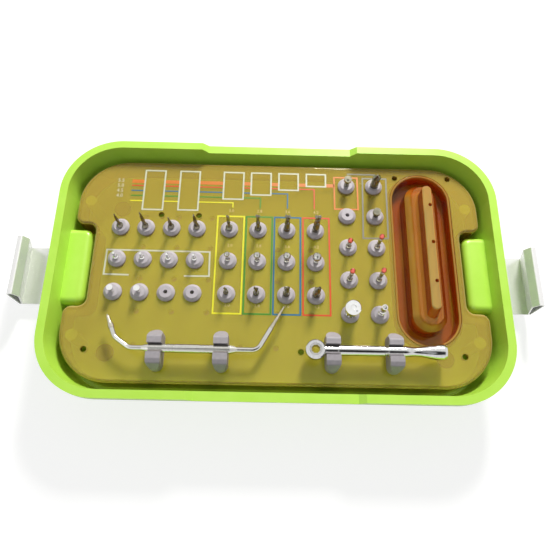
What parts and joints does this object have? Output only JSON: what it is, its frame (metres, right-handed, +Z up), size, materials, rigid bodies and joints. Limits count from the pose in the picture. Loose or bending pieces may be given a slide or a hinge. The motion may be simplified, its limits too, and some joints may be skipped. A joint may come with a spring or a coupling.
{
  "type": "implant prosthetic kit",
  "caption": "Open sterilisation case with a lift-out amber tray: rotary tools upright in silicone sockets, a double-ended probe and a ratchet wrench in clips, and two end latches.",
  "frame": {"origin": "on the table under the middle of the case", "axes": "+X along the case towards the lifting grip's end, +Y to the back, +Z up"},
  "size_m": [0.322, 0.1616, 0.051],
  "materials": {
    "green_plastic": "opaque lime moulding",
    "amber_plastic": "clear amber moulding",
    "grip_plastic": "clear amber moulding, darker where thick",
    "foot_rubber": "matte",
    "grey_silicone": "matte silicone",
    "clip_silicone": "matte silicone",
    "latch_steel": "polished stainless sheet",
    "pin_steel": "ground pin",
    "probe_steel": "polished",
    "probe_tip_steel": "polished",
    "ratchet_steel": "polished",
    "ratchet_handle_steel": "satin",
    "wheel_steel": "hardened",
    "spring_steel": "drawn wire",
    "cutter_steel": "dark coated",
    "drill_steel": "dark coated",
    "bright_steel": "polished",
    "polished_steel": "polished",
    "driver_steel": "polished, tinted tip"
  },
  "bodies": {
    "case": {"base_tub": "green_plastic", "rubber_feet": "foot_rubber", "latch_pin_left": "pin_steel", "latch_pin_right": "pin_steel"},
    "tray_body": {"tray": "amber_plastic", "tray_skirt": "amber_plastic", "lift_grip": "grip_plastic", "grommets_left": "grey_silicone", "grommets_middle": "grey_silicone", "grommets_right": "grey_silicone", "grommets_spare": "grey_silicone", "probe_clip_left": "clip_silicone", "probe_clip_right": "clip_silicone", "ratchet_clip_left": "clip_silicone", "ratchet_clip_right": "clip_silicone"},
    "latch_left_body": {"latch_left": "latch_steel"},
    "latch_right_body": {"latch_right": "latch_steel"},
    "probe": {"probe_handle": "probe_steel", "probe_thick_tip": "probe_tip_steel", "probe_fine_tip": "probe_tip_steel"},
    "ratchet": {"ratchet_head": "ratchet_steel", "ratchet_sleeve": "ratchet_steel", "pawl_spring": "spring_steel"},
    "wheel": {"ratchet_wheel": "wheel_steel"},
    "pawl": {"ratchet_pawl": "wheel_steel"},
    "torque_handle": {"ratchet_handle": "ratchet_handle_steel"},
    "side_cutter_1_body": {"side_cutter_1": "cutter_steel"},
    "side_cutter_2_body": {"side_cutter_2": "cutter_steel"},
    "side_cutter_3_body": {"side_cutter_3": "cutter_steel"},
    "side_cutter_4_body": {"side_cutter_4": "cutter_steel"},
    "drive_pin_1_body": {"drive_pin_1": "bright_steel"},
    "drive_pin_2_body": {"drive_pin_2": "bright_steel"},
    "drive_pin_3_body": {"drive_pin_3": "bright_steel"},
    "drive_pin_4_body": {"drive_pin_4": "bright_steel"},
    "tissue_punch_1_body": {"tissue_punch_1": "bright_steel"},
    "tissue_punch_2_body": {"tissue_punch_2": "bright_steel"},
    "twist_drill_1_body": {"twist_drill_1": "drill_steel"},
    "twist_drill_2_body": {"twist_drill_2": "drill_steel"},
    "twist_drill_3_body": {"twist_drill_3": "drill_steel"},
    "twist_drill_4_body": {"twist_drill_4": "drill_steel"},
    "ball_profiler_1_body": {"ball_profiler_1": "polished_steel"},
    "ball_profiler_2_body": {"ball_profiler_2": "polished_steel"},
    "ball_profiler_3_body": {"ball_profiler_3": "polished_steel"},
    "ball_profiler_4_body": {"ball_profiler_4": "polished_steel"},
    "short_drill_1_body": {"short_drill_1": "drill_steel"},
    "short_drill_2_body": {"short_drill_2": "drill_steel"},
    "short_drill_3_body": {"short_drill_3": "drill_steel"},
    "short_drill_4_body": {"short_drill_4": "drill_steel"},
    "screw_driver_1_body": {"screw_driver_1": "driver_steel"},
    "screw_driver_2_body": {"screw_driver_2": "driver_steel"},
    "screw_driver_3_body": {"screw_driver_3": "driver_steel"},
    "screw_driver_4_body": {"screw_driver_4": "driver_steel"},
    "counterbore_drill_body": {"counterbore_drill": "drill_steel"},
    "large_twist_drill_body": {"large_twist_drill": "drill_steel"},
    "countersink_drill_body": {"countersink_drill": "drill_steel"},
    "hand_driver_body": {"hand_driver": "bright_steel"},
    "drill_extender_body": {"drill_extender": "bright_steel"}
  },
  "joints": [
    {"name": "tray_lift", "type": "slide", "parent": "case", "child": "tray_body", "axis": [0, 0, 1], "range_m": [0, 0.045]},
    {"name": "latch_left_hinge", "type": "hinge", "parent": "case", "child": "latch_left_body", "pos_m": [-0.121, 0, 0.0085], "axis": [0, 1, 0], "range_deg": [0, 62]},
    {"name": "latch_right_hinge", "type": "hinge", "parent": "case", "child": "latch_right_body", "pos_m": [0.121, 0, 0.0085], "axis": [0, -1, 0], "range_deg": [0, 62]},
    {"name": "probe_lift", "type": "slide", "parent": "tray_body", "child": "probe", "axis": [0, 0, 1], "range_m": [0, 0.02]},
    {"name": "ratchet_lift", "type": "slide", "parent": "tray_body", "child": "ratchet", "axis": [0, 0, 1], "range_m": [0, 0.02]},
    {"name": "wheel_turn", "type": "hinge", "parent": "ratchet", "child": "wheel", "pos_m": [0.0214, -0.0522, 0.0385], "axis": [0, 0, 1], "continuous": true},
    {"name": "pawl_slide", "type": "slide", "parent": "ratchet", "child": "pawl", "axis": [1, 0, 0], "range_m": [0, 0.0008], "stiffness_N_per_m": 400, "springref_m": -0.0004, "deforming": ["pawl_spring"]},
    {"name": "torque_handle_turn", "type": "hinge", "parent": "ratchet", "child": "torque_handle", "pos_m": [0.0778, -0.0522, 0.0385], "axis": [1, 0, 0], "continuous": true},
    {"name": "side_cutter_1_lift", "type": "slide", "parent": "tray_body", "child": "side_cutter_1_body", "axis": [0, 0, 1], "range_m": [0, 0.018]},
    {"name": "side_cutter_2_lift", "type": "slide", "parent": "tray_body", "child": "side_cutter_2_body", "axis": [0, 0, 1], "range_m": [0, 0.018]},
    {"name": "side_cutter_3_lift", "type": "slide", "parent": "tray_body", "child": "side_cutter_3_body", "axis": [0, 0, 1], "range_m": [0, 0.018]},
    {"name": "side_cutter_4_lift", "type": "slide", "parent": "tray_body", "child": "side_cutter_4_body", "axis": [0, 0, 1], "range_m": [0, 0.018]},
    {"name": "drive_pin_1_lift", "type": "slide", "parent": "tray_body", "child": "drive_pin_1_body", "axis": [0, 0, 1], "range_m": [0, 0.018]},
    {"name": "drive_pin_2_lift", "type": "slide", "parent": "tray_body", "child": "drive_pin_2_body", "axis": [0, 0, 1], "range_m": [0, 0.018]},
    {"name": "drive_pin_3_lift", "type": "slide", "parent": "tray_body", "child": "drive_pin_3_body", "axis": [0, 0, 1], "range_m": [0, 0.018]},
    {"name": "drive_pin_4_lift", "type": "slide", "parent": "tray_body", "child": "drive_pin_4_body", "axis": [0, 0, 1], "range_m": [0, 0.018]},
    {"name": "tissue_punch_1_lift", "type": "slide", "parent": "tray_body", "child": "tissue_punch_1_body", "axis": [0, 0, 1], "range_m": [0, 0.018]},
    {"name": "tissue_punch_2_lift", "type": "slide", "parent": "tray_body", "child": "tissue_punch_2_body", "axis": [0, 0, 1], "range_m": [0, 0.018]},
    {"name": "twist_drill_1_lift", "type": "slide", "parent": "tray_body", "child": "twist_drill_1_body", "axis": [0, 0, 1], "range_m": [0, 0.018]},
    {"name": "twist_drill_2_lift", "type": "slide", "parent": "tray_body", "child": "twist_drill_2_body", "axis": [0, 0, 1], "range_m": [0, 0.018]},
    {"name": "twist_drill_3_lift", "type": "slide", "parent": "tray_body", "child": "twist_drill_3_body", "axis": [0, 0, 1], "range_m": [0, 0.018]},
    {"name": "twist_drill_4_lift", "type": "slide", "parent": "tray_body", "child": "twist_drill_4_body", "axis": [0, 0, 1], "range_m": [0, 0.018]},
    {"name": "ball_profiler_1_lift", "type": "slide", "parent": "tray_body", "child": "ball_profiler_1_body", "axis": [0, 0, 1], "range_m": [0, 0.018]},
    {"name": "ball_profiler_2_lift", "type": "slide", "parent": "tray_body", "child": "ball_profiler_2_body", "axis": [0, 0, 1], "range_m": [0, 0.018]},
    {"name": "ball_profiler_3_lift", "type": "slide", "parent": "tray_body", "child": "ball_profiler_3_body", "axis": [0, 0, 1], "range_m": [0, 0.018]},
    {"name": "ball_profiler_4_lift", "type": "slide", "parent": "tray_body", "child": "ball_profiler_4_body", "axis": [0, 0, 1], "range_m": [0, 0.018]},
    {"name": "short_drill_1_lift", "type": "slide", "parent": "tray_body", "child": "short_drill_1_body", "axis": [0, 0, 1], "range_m": [0, 0.018]},
    {"name": "short_drill_2_lift", "type": "slide", "parent": "tray_body", "child": "short_drill_2_body", "axis": [0, 0, 1], "range_m": [0, 0.018]},
    {"name": "short_drill_3_lift", "type": "slide", "parent": "tray_body", "child": "short_drill_3_body", "axis": [0, 0, 1], "range_m": [0, 0.018]},
    {"name": "short_drill_4_lift", "type": "slide", "parent": "tray_body", "child": "short_drill_4_body", "axis": [0, 0, 1], "range_m": [0, 0.018]},
    {"name": "screw_driver_1_lift", "type": "slide", "parent": "tray_body", "child": "screw_driver_1_body", "axis": [0, 0, 1], "range_m": [0, 0.018]},
    {"name": "screw_driver_2_lift", "type": "slide", "parent": "tray_body", "child": "screw_driver_2_body", "axis": [0, 0, 1], "range_m": [0, 0.018]},
    {"name": "screw_driver_3_lift", "type": "slide", "parent": "tray_body", "child": "screw_driver_3_body", "axis": [0, 0, 1], "range_m": [0, 0.018]},
    {"name": "screw_driver_4_lift", "type": "slide", "parent": "tray_body", "child": "screw_driver_4_body", "axis": [0, 0, 1], "range_m": [0, 0.018]},
    {"name": "counterbore_drill_lift", "type": "slide", "parent": "tray_body", "child": "counterbore_drill_body", "axis": [0, 0, 1], "range_m": [0, 0.018]},
    {"name": "large_twist_drill_lift", "type": "slide", "parent": "tray_body", "child": "large_twist_drill_body", "axis": [0, 0, 1], "range_m": [0, 0.018]},
    {"name": "countersink_drill_lift", "type": "slide", "parent": "tray_body", "child": "countersink_drill_body", "axis": [0, 0, 1], "range_m": [0, 0.018]},
    {"name": "hand_driver_lift", "type": "slide", "parent": "tray_body", "child": "hand_driver_body", "axis": [0, 0, 1], "range_m": [0, 0.018]},
    {"name": "drill_extender_lift", "type": "slide", "parent": "tray_body", "child": "drill_extender_body", "axis": [0, 0, 1], "range_m": [0, 0.018]}
  ]
}
